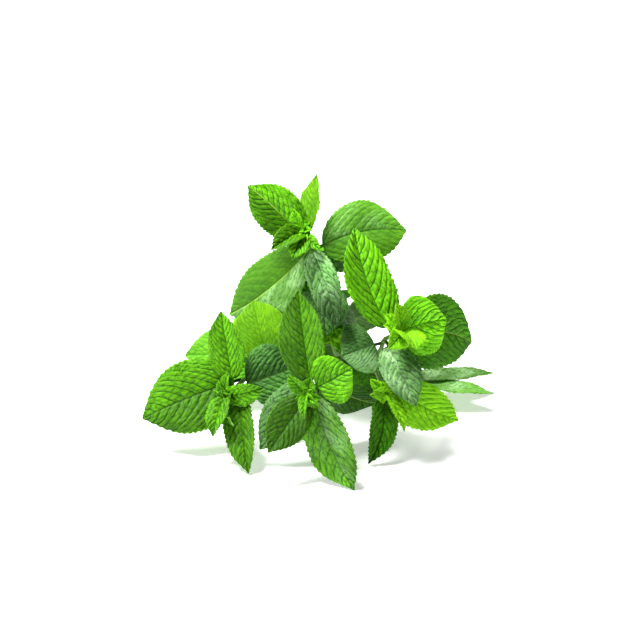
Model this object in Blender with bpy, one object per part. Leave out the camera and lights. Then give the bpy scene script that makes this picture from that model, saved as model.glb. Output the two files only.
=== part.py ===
"""Mint sprig: one cut, branched shoot of mint, lying on a table on its lower leaves and its cut end.

Distances below are in millimetres and the mesh is written in metres. The table's top is z = 0, +Z is up,
and the origin is under the middle of the sprig. Bearings are degrees from +Y, with +X at 90.
"""
import math

import bmesh
import bpy
import numpy as np
from mathutils import Matrix, Vector

MM = 0.001

# Driving dimensions
GAP = 0.3                  # clear space between a stem and each stalk or tip that it carries
BLADE_THICKNESS = 0.7
STALK_THICKNESS = 1.3
STALK_WIDTH = 1.7
STALK_LENGTH = 3.0
STALK_FADE = 6.0           # length of blade over which the stalk's thickness dies away
TOOTH_SPACING = 8.0        # along each edge of a leaf
TOOTH_DEPTH = 0.12         # of the half width
TOOTH_LEAN = 0.62          # share of a tooth's length that rises towards the leaf's tip
TOOTHED_FROM, TOOTHED_TO = 0.14, 0.97
TIP_POINT = 0.45           # how much of a leaf's width is pared away just before its tip, to leave a point
JOINT_SWELL = 1.15         # stem radius where leaves grow, as a share of the radius beside it
JOINT_LENGTH = 1.6         # half length of that swelling
SEAT = 1.2                 # distance of a leaf's seat from the stem's centre line, in stem radii
RING_SPACING = 8.0         # between a stem's rings
CORNER = 15                # half angle of each rounded edge of a square stem, in degrees
BUD_RADIUS = 1.6

# Each stem's centre line, from where it grows, and its radius at the two ends
STEMS = {
    "main": dict(radius=(2.2, 1.1), through=[(22, 50, 1.8), (18, 34, 4), (12, 20, 14), (6, 12, 34), (0, 9, 60),
                                             (-4, 9, 82), (-5.5, 8, 93), (-10, 6, 101)]),
    "front": dict(radius=(1.5, 0.9), through=[(7, 13, 28), (4, -6, 36), (-0.5, -30, 41), (-7.5, -51, 43)]),
    "back": dict(radius=(1.4, 0.9), through=[(7, 13, 28), (9, 26, 33), (7, 42, 36), (4, 52, 37)]),
    "left": dict(radius=(1.5, 0.9), through=[(4, 11, 40), (-14, 2, 40), (-33, -14, 37), (-48, -30, 32)]),
    "right": dict(radius=(1.9, 0.9), through=[(6, 12, 34), (16, 3, 34), (24, -7, 38), (28, -13, 47), (30, -17, 55),
                                              (36, -25, 62)]),
    "fork": dict(radius=(1.1, 0.8), through=[(24, -7, 38), (26, -20, 38), (29, -35, 37)]),
    "side": dict(radius=(0.9, 0.7), through=[(4, 10.5, 41), (4, 5, 45), (4.5, 0, 48.5)]),
    "low_right": dict(radius=(1.4, 0.9), through=[(16, 29, 8), (29, 25, 11), (40, 20, 14), (44, 17, 20)]),
    "low_left": dict(radius=(1.4, 0.9), through=[(16, 29, 8), (-2, 30, 12), (-20, 24, 22), (-37, 14, 28)]),
}

# How a leaf is shaped where its own entry says nothing else; angles in degrees, sway as a share of length
PLAIN = dict(bend=25, fold=18, curl=25, roll=0, sway=0.0, ripple=0.6, stalk=STALK_LENGTH, widest=0.42, flat=False)
YOUNG = {**PLAIN, "stalk": 1.5, "fold": 30, "bend": 40, "ripple": 0.2}
RESTING = dict(flat=True, fold=5, curl=0, ripple=0.2)

GREENS = {
    "fresh": (0.10, 0.29, 0.03),
    "old": (0.05, 0.16, 0.05),
    "young": (0.24, 0.47, 0.06),
    "pale": (0.22, 0.38, 0.14),
    "stem": (0.12, 0.21, 0.05),
}


def leaf(share, bearing, rise, length, width, green="fresh", **shape):
    """A leaf that grows at a share of its stem, its tip seen from its base along a bearing and a rise."""
    return dict(share=share, bearing=bearing, rise=rise, length=length, width=width, green=green, **shape)


def young(bearing, rise, length, width, **shape):
    return leaf(1.0, bearing, rise, length, width, **{**YOUNG, **shape})


# The grown leaves of each stem, nearest its tip first, mostly in pairs that face each other
LEAVES = {
    "main": [
        leaf(0.975, -81, 44, 38, 25, fold=25, bend=15, roll=15, sway=-0.03, widest=0.48),
        leaf(0.985, 13, 55, 30, 18, "young", fold=25, bend=10, roll=10),
        leaf(0.93, 76, 6, 45, 33, "pale", bend=15, roll=-52, sway=0.08, widest=0.5),
        leaf(0.935, -78, -43, 57, 33, "pale", roll=42, sway=0.07),
        leaf(0.955, 152, -50, 42, 18, "old", bend=45, fold=25, sway=0.06),
        leaf(0.91, 59, -18, 20, 20, "old", bend=20, roll=-60),
        leaf(0.8, 165, -61, 26, 27, "old", bend=20, roll=15),
        leaf(0.8, -20, 8, 34, 26),
        leaf(0.72, 101, -55, 24, 20, "old", bend=20),
        leaf(0.68, -50, 15, 38, 26),
        leaf(0.64, 10, -5, 30, 24, "old"),
        leaf(0.57, 58, -50, 53, 28, "old", roll=0),
    ],
    "front": [
        leaf(0.97, 96, 34, 20, 26, bend=20, roll=5),
        leaf(0.97, -135, -38, 33, 21, bend=20),
        leaf(0.95, -16, 61, 45, 26.2, fold=28, bend=10),
        leaf(0.95, 140, -53, 49, 25.5, bend=20, sway=-0.035, widest=0.5),
        leaf(0.72, -117, -42, 43, 28, "old"),
        leaf(0.76, 59, -32, 36, 31, "old", roll=-15),
    ],
    "back": [
        leaf(0.93, -60, 55, 28, 20),
        leaf(0.93, 40, -40, 35, 20),
        leaf(0.78, -80, 5, 36, 25),
        leaf(0.78, 75, 6, 31, 24, "old"),
        leaf(0.5, -156, -54, 18, 28, "old", bend=20, roll=0),
    ],
    "left": [
        leaf(0.94, -21, 63, 35, 20, fold=25, bend=10, roll=-40),
        leaf(0.93, 169, -45, 41, 19.6, fold=35, bend=15, roll=40),
        leaf(0.86, -103, -18, 50, 38, roll=-30, sway=-0.02),
        leaf(0.9, 60, 6, 30, 34, "old", roll=55),
        leaf(0.55, -28, 54, 29, 34, "young", bend=40, roll=-30),
    ],
    "right": [
        leaf(0.91, -35, 56, 54, 30, fold=22, bend=10, sway=0.08),
        leaf(0.92, 81, 15, 24, 34, fold=20, roll=-25, sway=0.09),
        leaf(0.82, 157, -30, 37, 20.5, "old", roll=-25),
        leaf(0.88, 63, -16, 47, 40, bend=30, roll=-20, sway=0.1, widest=0.38),
        leaf(0.74, -107, -13, 18, 32, "old", roll=5),
    ],
    "fork": [
        leaf(0.92, -156, -65, 36, 16, fold=35, roll=-10, sway=0.1),
        leaf(0.78, 100, -25, 41, 27, "young", bend=50),
    ],
    "side": [
        leaf(0.62, -110, 10, 9, 6, "young", stalk=1.5, fold=30, bend=30, ripple=0.2),
    ],
    "low_right": [
        leaf(0.82, 78, -3, 47, 17, "pale", flat=True, fold=10, bend=15, stalk=4),
        leaf(0.74, 105, -1, 47, 16, "pale", flat=True, fold=15, bend=10, stalk=4),
        leaf(0.72, -126, 29, 31, 26, "old", roll=60),
        leaf(0.6, -175, -28, 27, 18, bend=-45, **RESTING),
    ],
    "low_left": [
        leaf(0.9, -178, 83, 33, 36, "young", bend=40, roll=-20),
        leaf(0.84, -89, 2, 40, 36, "pale", roll=-30, stalk=5),
        leaf(0.78, -15, 30, 32, 24),
        leaf(0.62, -75, -42, 31, 22, bend=-60, **RESTING),
    ],
}

# The small leaves that stand round the bud at each stem's end
TIPS = {
    "main": [
        young(-132, -7, 21, 14, bend=60, fold=45, roll=40), young(-164, -18, 19, 12, roll=45),
        young(-65, 70, 13, 10, bend=20), young(144, -15, 15, 7),
    ],
    "front": [
        young(-172, -24, 15, 7, bend=60, fold=50), young(-98, 49, 14, 9), young(106, 81, 8, 8, bend=50),
        young(155, 0, 9, 6, bend=60),
    ],
    "back": [
        young(60, 35, 10, 7), young(-10, 30, 10, 7),
    ],
    "left": [
        young(-161, -38, 23, 13, roll=40), young(112, 21, 21, 14, bend=50), young(166, -26, 19, 6, fold=50),
        young(53, 81, 11, 7, bend=50),
    ],
    "right": [
        young(156, -5, 17, 18, bend=50), young(-153, -12, 13, 12, bend=60), young(-115, 81, 16, 12),
        young(-75, 49, 11, 9, bend=50),
    ],
    "fork": [
        young(149, -39, 23, 9, roll=40), young(-134, 16, 7, 9, bend=60), young(-93, 54, 4, 7, bend=50),
    ],
    "side": [
        young(60, 50, 6, 5), young(-60, 50, 8, 6), young(150, 0, 8, 6),
    ],
    "low_right": [
        young(60, 70, 9, 6), young(-160, 60, 9, 6),
    ],
    "low_left": [
        young(-60, 60, 10, 7), young(-150, 40, 10, 7),
    ],
}


def unit(v):
    return np.asarray(v, float) / np.linalg.norm(v)


def smooth_path(through, steps=60):
    """A smooth line through the points, as Catmull-Rom spans whose end tangents carry straight on."""
    p = np.asarray(through, float)
    p = np.vstack([2 * p[0] - p[1], p, 2 * p[-1] - p[-2]])
    t = np.linspace(0, 1, steps, endpoint=False)[:, None]
    spans = [0.5 * (2 * b + (c - a) * t + (2 * a - 5 * b + 4 * c - d) * t**2 + (3 * b - a - 3 * c + d) * t**3)
             for a, b, c, d in zip(p, p[1:], p[2:], p[3:])]
    return np.vstack(spans + [p[-2:-1]])


def point_at(path, share):
    """The point at a share of a path's length, and the path's direction there."""
    reach = np.concatenate([[0], np.cumsum(np.linalg.norm(np.diff(path, axis=0), axis=1))])
    aim = np.clip(np.array([share, share - 0.02, share + 0.02]), 0, 1) * reach[-1]
    here, before, after = np.stack([np.interp(aim, reach, path[:, k]) for k in range(3)], axis=-1)
    return here, unit(after - before)


def stem_radius(stem, share):
    first, last = STEMS[stem]["radius"]
    return first + (last - first) * share


def direction(bearing, rise):
    b, r = math.radians(bearing), math.radians(rise)
    return np.array([math.sin(b) * math.cos(r), math.cos(b) * math.cos(r), math.sin(r)])


def arc(start, turn, u):
    """Where an arc of length 1 has come to after a share u: it sets out at angle start and turns down by turn."""
    turn = turn if abs(turn) > 1e-4 else 1e-4
    return (np.sin(start) - np.sin(start - turn * u)) / turn, (np.cos(start - turn * u) - np.cos(start)) / turn


def leaf_axes(item, stem_axis):
    """A leaf's own axes: along it, across it, and out of its upper face, which looks along its stem."""
    ahead = direction(item["bearing"], item["rise"])
    facing = np.array([0.0, 0.0, 1.0]) if item["flat"] else stem_axis
    out = unit(facing - (facing @ ahead) * ahead)
    across = np.cross(out, ahead)
    roll = math.radians(item["roll"])
    return ahead, across * math.cos(roll) - out * math.sin(roll), out * math.cos(roll) + across * math.sin(roll)


def leaf_seat(item, stem, axes):
    """The middle of a grown leaf's stalk end, clear of the stem on the side that the stalk sets out from."""
    point, axis = point_at(smooth_path(STEMS[stem]["through"]), item["share"])
    ahead, across, out = axes
    start = math.radians(item["bend"]) / 2
    set_out = math.cos(start) * ahead + math.sin(start) * out
    normal = math.cos(start) * out - math.sin(start) * ahead
    aside = unit(set_out - (set_out @ axis) * axis)
    reach = STALK_THICKNESS / 2 * abs(normal @ aside) + STALK_WIDTH / 2 * abs(across @ aside)
    return point + aside * (stem_radius(stem, item["share"]) * SEAT + GAP + reach)


def half_width(leaf_share, widest):
    """A mint leaf's half width: a quarter round from the base to its widest, then a long curve to a point."""
    low = np.sqrt(np.clip(1 - (1 - leaf_share / widest) ** 2, 0, 1)) ** 0.9
    beyond = np.clip((leaf_share - widest) / (1 - widest), 0, 1)
    high = (1 - beyond ** 2.2) * (1 - TIP_POINT * beyond ** 6)
    return np.where(leaf_share < widest, low, high)


def leaf_sheet(item, seat, axes, s, t, notch=0.0):
    """The middle of the blade at a share s of the whole length and t from edge to edge, -1 to 1.

    The midrib is an arc of the leaf's bend. Each half blade is an arc across it that sets out at the
    fold's angle and curls back, and the edge waves up and down twice along the leaf.
    """
    ahead, across, out = axes
    whole = item["length"] + item["stalk"]
    bend = math.radians(item["bend"])
    forward, lift = arc(bend / 2, bend, s)
    aside = item["sway"] * 4 * s * (1 - s)
    rib = seat + whole * (forward[..., None] * ahead + lift[..., None] * out + aside[..., None] * across)
    slope = bend / 2 - bend * s
    normal = np.cos(slope)[..., None] * out - np.sin(slope)[..., None] * ahead
    blade = np.clip((s * whole - item["stalk"]) / item["length"], 0, 1)
    wide = item["width"] / 2 * half_width(blade, item["widest"]) * (1 - notch)
    wide = np.maximum(wide, STALK_WIDTH / 2 * (1 - blade) + 0.25 * blade)
    y, z = arc(math.radians(item["fold"]), math.radians(item["curl"]), np.abs(t))
    wave = item["ripple"] * t**2 * np.sin(blade * 4 * np.pi + 1.0 + item["length"]) * np.sin(np.pi * blade)
    return rib + (wide * np.sign(t) * y)[..., None] * across + (wide * z + wave)[..., None] * normal, blade


def leaf_rows(item, toothed):
    """Shares of the length at which the blade has a row of points, and which rows are notches."""
    if toothed:
        teeth = max(3, round(item["length"] / TOOTH_SPACING))
        step = (TOOTHED_TO - TOOTHED_FROM) / teeth
        starts = TOOTHED_FROM + step * np.arange(teeth)
        blade = np.concatenate([[0, 0.05], np.stack([starts, starts + TOOTH_LEAN * step], axis=1).ravel(), [1]])
        notch = np.concatenate([[0, 0], np.tile([1, 0], teeth), [0]])
    else:
        blade, notch = np.array([0, 0.2, 0.6, 1]), np.zeros(4)
    whole = item["length"] + item["stalk"]
    return np.append(0, (item["stalk"] + blade * item["length"]) / whole), np.append(0, notch) * TOOTH_DEPTH


def leaf_shell(item, seat, axes, toothed=True, columns=5):
    """A closed blade: its sheet moved half a thickness to each side, and no lower than the table's top."""
    rows, notches = leaf_rows(item, toothed)
    s, t = np.meshgrid(rows, np.linspace(-1, 1, columns), indexing="ij")
    notch = np.where(np.abs(t) > 0.99, notches[:, None], 0)
    sheet, blade = leaf_sheet(item, seat, axes, s, t, notch)
    near = 0.001
    along = (leaf_sheet(item, seat, axes, np.clip(s + near, 0, 1), t)[0]
             - leaf_sheet(item, seat, axes, np.clip(s - near, 0, 1), t)[0])
    aside = (leaf_sheet(item, seat, axes, s, np.clip(t + near, -1, 1))[0]
             - leaf_sheet(item, seat, axes, s, np.clip(t - near, -1, 1))[0])
    normal = np.cross(aside, along)
    normal /= np.linalg.norm(normal, axis=-1, keepdims=True)
    normal *= np.sign(np.median(normal @ axes[2]))
    extra = np.clip(1 - blade * item["length"] / STALK_FADE, 0, 1) * (STALK_THICKNESS - BLADE_THICKNESS)
    half = ((BLADE_THICKNESS + extra) / 2)[..., None]
    upper, lower = sheet + normal * half, sheet - normal * half
    lower[..., 2] = np.maximum(lower[..., 2], 0)
    upper[..., 2] = np.maximum(upper[..., 2], BLADE_THICKNESS)
    return upper, lower


def shell_mesh(name, upper, lower):
    """Two grids of points joined into one closed mesh, both split into the same triangles."""
    rows, columns = upper.shape[:2]
    count = rows * columns
    number = np.arange(count).reshape(rows, columns)
    faces = []
    for i in range(rows - 1):
        for j in range(columns - 1):
            a, b, c, d = number[i, j], number[i + 1, j], number[i + 1, j + 1], number[i, j + 1]
            pair = [(a, b, c), (a, c, d)] if j < columns // 2 else [(a, b, d), (b, c, d)]
            faces += pair + [(p + count, r + count, q + count) for p, q, r in pair]
    ring = [*number[:, 0], *number[-1, 1:], *number[-2::-1, -1], *number[0, -2:0:-1]]
    for a, b in zip(ring, ring[1:] + ring[:1]):
        faces += [(a, a + count, b), (b, a + count, b + count)]
    return closed_mesh(name, np.vstack([upper.reshape(-1, 3), lower.reshape(-1, 3)]), faces)


def closed_mesh(name, points, faces):
    """A mesh in metres whose faces all point outwards."""
    mesh = bpy.data.meshes.new(name)
    mesh.from_pydata((np.asarray(points) * MM).tolist(), [], [tuple(int(n) for n in f) for f in faces])
    shape = bmesh.new()
    shape.from_mesh(mesh)
    bmesh.ops.recalc_face_normals(shape, faces=shape.faces)
    if shape.calc_volume(signed=True) < 0:
        bmesh.ops.reverse_faces(shape, faces=shape.faces)
    shape.to_mesh(mesh)
    shape.free()
    return mesh


def finish(name, mesh, green):
    """One named object with its own material, smooth across the gentle turns of its surface."""
    obj = bpy.data.objects.new(name, mesh)
    bpy.context.scene.collection.objects.link(obj)
    mesh.shade_smooth()
    mesh.set_sharp_from_angle(angle=math.radians(50))
    material = bpy.data.materials.new(name)
    material.use_nodes = True
    shader = material.node_tree.nodes["Principled BSDF"]
    shader.inputs["Base Color"].default_value = (*GREENS[green], 1)
    shader.inputs["Roughness"].default_value = 0.5
    mesh.materials.clear()
    mesh.materials.append(material)
    return obj


def union(name, meshes, green):
    """Closed meshes that grow into each other, joined into one body."""
    group = bpy.data.collections.new(name + "_pieces")
    for mesh in meshes[1:]:
        group.objects.link(bpy.data.objects.new(mesh.name, mesh))
    body = finish(name, meshes[0], green)
    join = body.modifiers.new("Union", "BOOLEAN")
    join.operation = "UNION"
    join.operand_type = "COLLECTION"
    join.collection = group
    joined = bpy.data.meshes.new_from_object(body.evaluated_get(bpy.context.evaluated_depsgraph_get()))
    body.modifiers.clear()
    body.data = joined
    joined.materials.clear()
    joined.materials.append(bpy.data.materials[name])
    for piece in list(group.objects):
        bpy.data.objects.remove(piece)
    bpy.data.collections.remove(group)
    return body


def stem_mesh(stem):
    """A square stem: rings along its centre line, a little swollen where leaves grow, with both ends closed."""
    path = smooth_path(STEMS[stem]["through"])
    length = np.linalg.norm(np.diff(path, axis=0), axis=1).sum()
    joints = np.array(sorted({item["share"] for item in LEAVES[stem]}))
    swell = JOINT_LENGTH / length
    even = np.linspace(0, 1, round(length / RING_SPACING) + 1)
    even = even[np.all(np.abs(even[:, None] - joints) > 2 * swell, axis=1) | (even == 0) | (even == 1)]
    shares = np.unique(np.concatenate([even, joints, joints - swell, joints + swell]))
    shares = shares[(shares >= 0) & (shares <= 1)]
    shares = shares[np.append(True, np.diff(shares) > swell / 2)]
    turns = np.radians([90 * k + 45 + side * CORNER for k in range(4) for side in (-1, 1)])
    sideways = np.array([0.0, 0.0, 1.0])
    rings = []
    for share in shares:
        here, ahead = point_at(path, share)
        sideways = unit(sideways - (sideways @ ahead) * ahead)
        swollen = JOINT_SWELL if np.min(np.abs(joints - share)) < swell / 2 else 1.0
        radius = stem_radius(stem, share) * swollen
        other = np.cross(ahead, sideways)
        rings.append(here + radius * (np.cos(turns)[:, None] * sideways + np.sin(turns)[:, None] * other))
    points = np.vstack(rings)
    points[:, 2] = np.maximum(points[:, 2], 0)
    sides, last = len(turns), len(points)
    faces = []
    for k in range(0, last - sides, sides):
        for j in range(sides):
            a, b = k + j, k + (j + 1) % sides
            faces += [(a, b, b + sides), (a, b + sides, a + sides)]
    faces += [tuple(range(sides))[::-1], tuple(range(last - sides, last))]
    return closed_mesh("stem_" + stem, points, faces)


def tip_meshes(stem, items):
    """The bud beyond a stem's end, and the young leaves that grow from its middle."""
    end, axis = point_at(smooth_path(STEMS[stem]["through"]), 1.0)
    middle = end + axis * (GAP + BUD_RADIUS)
    bud = bmesh.new()
    place = Matrix.Translation(Vector(middle * MM))
    bmesh.ops.create_icosphere(bud, subdivisions=1, radius=BUD_RADIUS * MM, matrix=place)
    meshes = [bpy.data.meshes.new("bud_" + stem)]
    bud.to_mesh(meshes[0])
    bud.free()
    for item in items:
        upper, lower = leaf_shell(item, middle, leaf_axes(item, axis), toothed=False, columns=3)
        meshes.append(shell_mesh("young_leaf_" + stem, upper, lower))
    return meshes


def grown_leaf(name, stem, entry):
    item = {**PLAIN, **entry}
    axis = point_at(smooth_path(STEMS[stem]["through"]), item["share"])[1]
    axes = leaf_axes(item, axis)
    upper, lower = leaf_shell(item, leaf_seat(item, stem, axes), axes)
    return finish(name, shell_mesh(name, upper, lower), item["green"])


def main():
    for old in list(bpy.data.objects):
        bpy.data.objects.remove(old)
    union("stem", [stem_mesh(stem) for stem in STEMS], "stem")
    for stem, entries in LEAVES.items():
        for count, entry in enumerate(entries, start=1):
            grown_leaf(f"leaf_{stem}_{count}", stem, entry)
    for stem, items in TIPS.items():
        union("tip_" + stem, tip_meshes(stem, items), "young")


main()
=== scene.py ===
import math
import bpy
import numpy as np
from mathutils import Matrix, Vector


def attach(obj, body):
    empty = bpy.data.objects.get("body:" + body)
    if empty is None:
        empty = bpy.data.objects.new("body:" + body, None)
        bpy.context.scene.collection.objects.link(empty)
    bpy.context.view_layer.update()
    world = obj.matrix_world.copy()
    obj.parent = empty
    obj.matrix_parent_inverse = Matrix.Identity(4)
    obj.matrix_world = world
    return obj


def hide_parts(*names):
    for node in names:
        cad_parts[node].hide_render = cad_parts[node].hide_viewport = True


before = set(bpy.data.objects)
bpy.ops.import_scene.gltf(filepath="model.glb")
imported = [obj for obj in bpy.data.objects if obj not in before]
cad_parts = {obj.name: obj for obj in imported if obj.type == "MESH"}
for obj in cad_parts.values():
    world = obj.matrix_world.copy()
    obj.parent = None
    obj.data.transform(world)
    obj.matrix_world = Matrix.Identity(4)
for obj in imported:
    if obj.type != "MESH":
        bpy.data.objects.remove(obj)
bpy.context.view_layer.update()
print("frame loaded:", len(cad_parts), "nodes")

mm = 0.001          # distances below are in millimetres, meshes in metres

# How the sprig grows: the same stems and leaf places as the model that this dresses.
stems = {
    "main": dict(radius=(2.2, 1.1), through=[(22, 50, 1.8), (18, 34, 4), (12, 20, 14), (6, 12, 34),
                                             (0, 9, 60), (-4, 9, 82), (-5.5, 8, 93), (-10, 6, 101)]),
    "front": dict(radius=(1.5, 0.9), through=[(7, 13, 28), (4, -6, 36), (-0.5, -30, 41), (-7.5, -51, 43)]),
    "back": dict(radius=(1.4, 0.9), through=[(7, 13, 28), (9, 26, 33), (7, 42, 36), (4, 52, 37)]),
    "left": dict(radius=(1.5, 0.9), through=[(4, 11, 40), (-14, 2, 40), (-33, -14, 37), (-48, -30, 32)]),
    "right": dict(radius=(1.9, 0.9), through=[(6, 12, 34), (16, 3, 34), (24, -7, 38), (28, -13, 47),
                                              (30, -17, 55), (36, -25, 62)]),
    "fork": dict(radius=(1.1, 0.8), through=[(24, -7, 38), (26, -20, 38), (29, -35, 37)]),
    "side": dict(radius=(0.9, 0.7), through=[(4, 10.5, 41), (4, 5, 45), (4.5, 0, 48.5)]),
    "low_right": dict(radius=(1.4, 0.9), through=[(16, 29, 8), (29, 25, 11), (40, 20, 14), (44, 17, 20)]),
    "low_left": dict(radius=(1.4, 0.9), through=[(16, 29, 8), (-2, 30, 12), (-20, 24, 22), (-37, 14, 28)]),
}
plain = dict(bend=25, fold=18, curl=25, roll=0, sway=0.0, ripple=0.6, stalk=3.0, widest=0.42, flat=False)
small = {**plain, "stalk": 1.5, "fold": 30, "bend": 40, "ripple": 0.2}
resting = dict(flat=True, fold=5, curl=0, ripple=0.2)


# one leaf: its place on the stem, where it points in degrees, its size, and what differs from plain
def leaf(share, bearing, rise, length, width, green="fresh", **shape):
    return dict(share=share, bearing=bearing, rise=rise, length=length, width=width, green=green, **shape)


# a small leaf at a stem's very end
def young(bearing, rise, length, width, **shape):
    return leaf(1.0, bearing, rise, length, width, **{**small, **shape})


# the grown leaves of each stem, nearest its tip first
leaves = {
    "main": [
        leaf(0.975, -81, 44, 38, 25, fold=25, bend=15, roll=15, sway=-0.03, widest=0.48),
        leaf(0.985, 13, 55, 30, 18, "young", fold=25, bend=10, roll=10),
        leaf(0.93, 76, 6, 45, 33, "pale", bend=15, roll=-52, sway=0.08, widest=0.5),
        leaf(0.935, -78, -43, 57, 33, "pale", roll=42, sway=0.07),
        leaf(0.955, 152, -50, 42, 18, "old", bend=45, fold=25, sway=0.06),
        leaf(0.91, 59, -18, 20, 20, "old", bend=20, roll=-60),
        leaf(0.8, 165, -61, 26, 27, "old", bend=20, roll=15),
        leaf(0.8, -20, 8, 34, 26),
        leaf(0.72, 101, -55, 24, 20, "old", bend=20),
        leaf(0.68, -50, 15, 38, 26),
        leaf(0.64, 10, -5, 30, 24, "old"),
        leaf(0.57, 58, -50, 53, 28, "old", roll=0),
    ],
    "front": [
        leaf(0.97, 96, 34, 20, 26, bend=20, roll=5),
        leaf(0.97, -135, -38, 33, 21, bend=20),
        leaf(0.95, -16, 61, 45, 26.2, fold=28, bend=10),
        leaf(0.95, 140, -53, 49, 25.5, bend=20, sway=-0.035, widest=0.5),
        leaf(0.72, -117, -42, 43, 28, "old"),
        leaf(0.76, 59, -32, 36, 31, "old", roll=-15),
    ],
    "back": [
        leaf(0.93, -60, 55, 28, 20),
        leaf(0.93, 40, -40, 35, 20),
        leaf(0.78, -80, 5, 36, 25),
        leaf(0.78, 75, 6, 31, 24, "old"),
        leaf(0.5, -156, -54, 18, 28, "old", bend=20, roll=0),
    ],
    "left": [
        leaf(0.94, -21, 63, 35, 20, fold=25, bend=10, roll=-40),
        leaf(0.93, 169, -45, 41, 19.6, fold=35, bend=15, roll=40),
        leaf(0.86, -103, -18, 50, 38, roll=-30, sway=-0.02),
        leaf(0.9, 60, 6, 30, 34, "old", roll=55),
        leaf(0.55, -28, 54, 29, 34, "young", bend=40, roll=-30),
    ],
    "right": [
        leaf(0.91, -35, 56, 54, 30, fold=22, bend=10, sway=0.08),
        leaf(0.92, 81, 15, 24, 34, fold=20, roll=-25, sway=0.09),
        leaf(0.82, 157, -30, 37, 20.5, "old", roll=-25),
        leaf(0.88, 63, -16, 47, 40, bend=30, roll=-20, sway=0.1, widest=0.38),
        leaf(0.74, -107, -13, 18, 32, "old", roll=5),
    ],
    "fork": [
        leaf(0.92, -156, -65, 36, 16, fold=35, roll=-10, sway=0.1),
        leaf(0.78, 100, -25, 41, 27, "young", bend=50),
    ],
    "side": [
        leaf(0.62, -110, 10, 9, 6, "young", stalk=1.5, fold=30, bend=30, ripple=0.2),
    ],
    "low_right": [
        leaf(0.82, 78, -3, 47, 17, "pale", flat=True, fold=10, bend=15, stalk=4),
        leaf(0.74, 105, -1, 47, 16, "pale", flat=True, fold=15, bend=10, stalk=4),
        leaf(0.72, -126, 29, 31, 26, "old", roll=60),
        leaf(0.6, -175, -28, 27, 18, bend=-45, **resting),
    ],
    "low_left": [
        leaf(0.9, -178, 83, 33, 36, "young", bend=40, roll=-20),
        leaf(0.84, -89, 2, 40, 36, "pale", roll=-30, stalk=5),
        leaf(0.78, -15, 30, 32, 24),
        leaf(0.62, -75, -42, 31, 22, bend=-60, **resting),
    ],
}
# the small leaves round the bud at each stem's end
tips = {
    "main": [
        young(-132, -7, 21, 14, bend=60, fold=45, roll=40), young(-164, -18, 19, 12, roll=45),
        young(-65, 70, 13, 10, bend=20), young(144, -15, 15, 7),
    ],
    "front": [
        young(-172, -24, 15, 7, bend=60, fold=50), young(-98, 49, 14, 9), young(106, 81, 8, 8, bend=50),
        young(155, 0, 9, 6, bend=60),
    ],
    "back": [
        young(60, 35, 10, 7), young(-10, 30, 10, 7),
    ],
    "left": [
        young(-161, -38, 23, 13, roll=40), young(112, 21, 21, 14, bend=50), young(166, -26, 19, 6, fold=50),
        young(53, 81, 11, 7, bend=50),
    ],
    "right": [
        young(156, -5, 17, 18, bend=50), young(-153, -12, 13, 12, bend=60), young(-115, 81, 16, 12),
        young(-75, 49, 11, 9, bend=50),
    ],
    "fork": [
        young(149, -39, 23, 9, roll=40), young(-134, 16, 7, 9, bend=60), young(-93, 54, 4, 7, bend=50),
    ],
    "side": [
        young(60, 50, 6, 5), young(-60, 50, 8, 6), young(150, 0, 8, 6),
    ],
    "low_right": [
        young(60, 70, 9, 6), young(-160, 60, 9, 6),
    ],
    "low_left": [
        young(-60, 60, 10, 7), young(-150, 40, 10, 7),
    ],
}

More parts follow.
